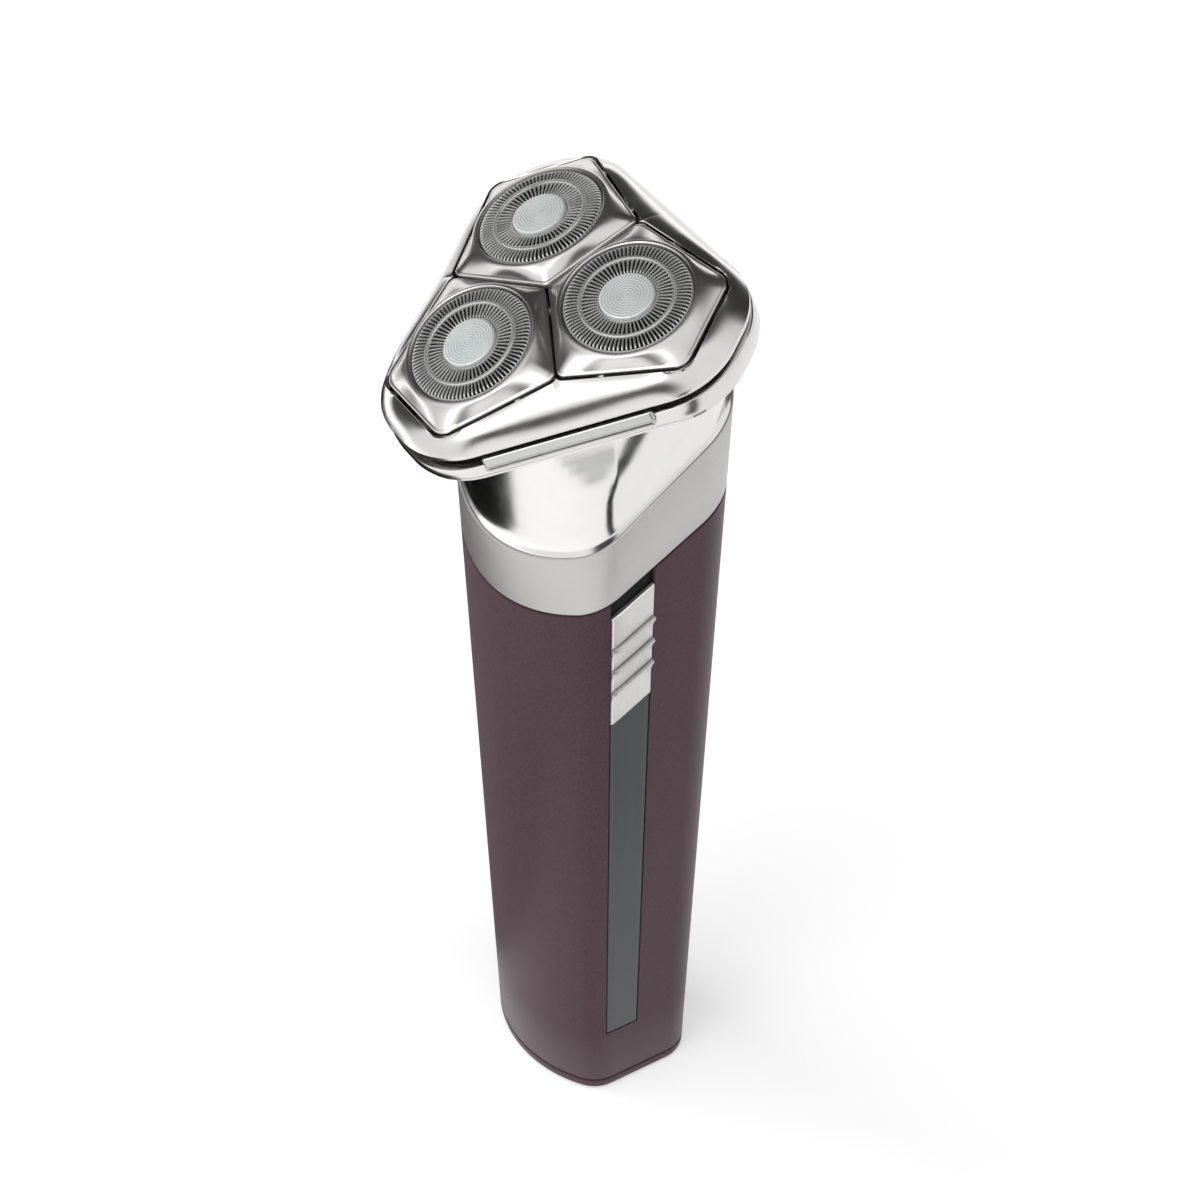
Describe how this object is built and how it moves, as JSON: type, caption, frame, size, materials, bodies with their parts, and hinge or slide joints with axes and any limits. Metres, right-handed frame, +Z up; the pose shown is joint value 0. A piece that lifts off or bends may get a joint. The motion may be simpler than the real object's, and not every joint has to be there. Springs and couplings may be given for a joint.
{
  "type": "electric shaver",
  "caption": "Cordless rotary shaver: tapered handle with a side power slider, a satin trim band, a bright neck and a hinged, tilted head with tilting cutter plates.",
  "frame": {"origin": "centre of the flat base, on the surface that the handle stands on", "axes": "+Z up the handle; -Y is the front, towards which the head leans; +X is the side with the power slider"},
  "size_m": [0.057, 0.0531, 0.1668],
  "materials": {
    "soft_touch_shell": "matte soft-touch coating with a fine speckle",
    "black_plastic": "satin black moulding",
    "strip_satin": "satin dark grey-green inlay",
    "satin_band": "satin warm silver",
    "slider_satin": "light satin silver with bright ribs",
    "polished_chrome": "polished",
    "brushed_metal": "satin to polished silver",
    "plate_metal": "polished with a fine brush",
    "guard_steel": "ground steel",
    "cap_satin": "satin blue-grey, turned finish",
    "steel": "bright zinc or nickel",
    "brass": "machined",
    "white_plastic": "natural acetal",
    "black_rubber": "matte",
    "cell_wrap": "shrink sleeve",
    "board_green": "solder mask",
    "lock_plastic": "moulded"
  },
  "bodies": {
    "handle": {"body_shell": "soft_touch_shell", "base_cap": "soft_touch_shell", "base_screws": "steel", "side_strip": "strip_satin", "switch_track": "black_plastic", "trim_band": "satin_band", "neck_cover": "polished_chrome", "chassis": "black_plastic", "battery_cell": "cell_wrap", "battery_tabs": "steel", "circuit_board": "board_green", "board_screws": "steel", "charge_socket": "steel", "switch_case": "black_plastic", "motor_can": "steel", "motor_end_bell": "black_plastic", "motor_screws": "steel", "gear_housing": "brushed_metal", "gear_axles": "steel", "head_tray": "brushed_metal", "thumb_ledges": "satin_band", "tray_seal": "black_rubber", "tray_screws": "steel", "hinge_pin": "steel"},
    "slider": {"power_slider": "slider_satin", "switch_lever": "white_plastic"},
    "rotor": {"motor_shaft": "steel", "drive_pinion": "brass"},
    "drive_front": {"gear_front": "white_plastic", "spindle_front": "black_plastic", "spring_front": "steel"},
    "drive_right": {"gear_right": "white_plastic", "spindle_right": "black_plastic", "spring_right": "steel"},
    "drive_left": {"gear_left": "white_plastic", "spindle_left": "black_plastic", "spring_left": "steel"},
    "lid": {"head_frame": "brushed_metal", "cutter_carrier": "black_plastic"},
    "lock": {"carrier_lock": "lock_plastic"},
    "unit_front": {"plate_front": "plate_metal", "guard_front": "guard_steel", "cap_front": "cap_satin"},
    "unit_right": {"plate_right": "plate_metal", "guard_right": "guard_steel", "cap_right": "cap_satin"},
    "unit_left": {"plate_left": "plate_metal", "guard_left": "guard_steel", "cap_left": "cap_satin"},
    "blades_front": {"cutter_front": "guard_steel"},
    "blades_right": {"cutter_right": "guard_steel"},
    "blades_left": {"cutter_left": "guard_steel"}
  },
  "joints": [
    {"name": "power_slide", "type": "slide", "parent": "handle", "child": "slider", "axis": [0.0392, 0, 0.9992], "range_m": [0, 0.0026]},
    {"name": "motor_spin", "type": "hinge", "parent": "handle", "child": "rotor", "pos_m": [0, -0.00238, 0.14855], "axis": [0, -0.3939, 0.9191], "continuous": true},
    {"name": "drive_front_spin", "type": "hinge", "parent": "handle", "child": "drive_front", "pos_m": [0, -0.01479, 0.14323], "axis": [0, -0.3939, 0.9191], "continuous": true},
    {"name": "drive_right_spin", "type": "hinge", "parent": "handle", "child": "drive_right", "pos_m": [0.01169, 0.00382, 0.15121], "axis": [0, -0.3939, 0.9191], "continuous": true},
    {"name": "drive_left_spin", "type": "hinge", "parent": "handle", "child": "drive_left", "pos_m": [-0.01169, 0.00382, 0.15121], "axis": [0, -0.3939, 0.9191], "continuous": true},
    {"name": "lid_hinge", "type": "hinge", "parent": "handle", "child": "lid", "pos_m": [0, 0.01577, 0.16155], "axis": [-1, 0, 0], "range_deg": [0, 100]},
    {"name": "lock_turn", "type": "hinge", "parent": "lid", "child": "lock", "pos_m": [0, -0.00474, 0.15407], "axis": [0, -0.3939, 0.9191], "range_deg": [0, 90]},
    {"name": "plate_front_tilt", "type": "hinge", "parent": "lid", "child": "unit_front", "pos_m": [0, -0.01815, 0.15107], "axis": [1, 0, 0], "range_deg": [-3, 3], "stiffness_Nm_per_rad": 0.03},
    {"name": "plate_right_tilt", "type": "hinge", "parent": "lid", "child": "unit_right", "pos_m": [0.0117, 0.00047, 0.15905], "axis": [-0.5, 0.796, 0.3412], "range_deg": [-3, 3], "stiffness_Nm_per_rad": 0.03},
    {"name": "plate_left_tilt", "type": "hinge", "parent": "lid", "child": "unit_left", "pos_m": [-0.0117, 0.00047, 0.15905], "axis": [-0.5, -0.796, -0.3412], "range_deg": [-3, 3], "stiffness_Nm_per_rad": 0.03},
    {"name": "blades_front_spin", "type": "hinge", "parent": "unit_front", "child": "blades_front", "pos_m": [0, -0.01938, 0.15324], "axis": [0, -0.4924, 0.8704], "continuous": true},
    {"name": "blades_right_spin", "type": "hinge", "parent": "unit_right", "child": "blades_right", "pos_m": [0.01193, -0.00038, 0.16139], "axis": [0.095, -0.3411, 0.9352], "continuous": true},
    {"name": "blades_left_spin", "type": "hinge", "parent": "unit_left", "child": "blades_left", "pos_m": [-0.01193, -0.00038, 0.16139], "axis": [-0.095, -0.3411, 0.9352], "continuous": true}
  ],
  "couplings": [
    {"joint": "drive_front_spin", "follows": "motor_spin", "ratio": -0.5},
    {"joint": "drive_right_spin", "follows": "motor_spin", "ratio": -0.5},
    {"joint": "drive_left_spin", "follows": "motor_spin", "ratio": -0.5},
    {"joint": "blades_front_spin", "follows": "motor_spin", "ratio": -0.5},
    {"joint": "blades_right_spin", "follows": "motor_spin", "ratio": -0.5},
    {"joint": "blades_left_spin", "follows": "motor_spin", "ratio": -0.5}
  ]
}
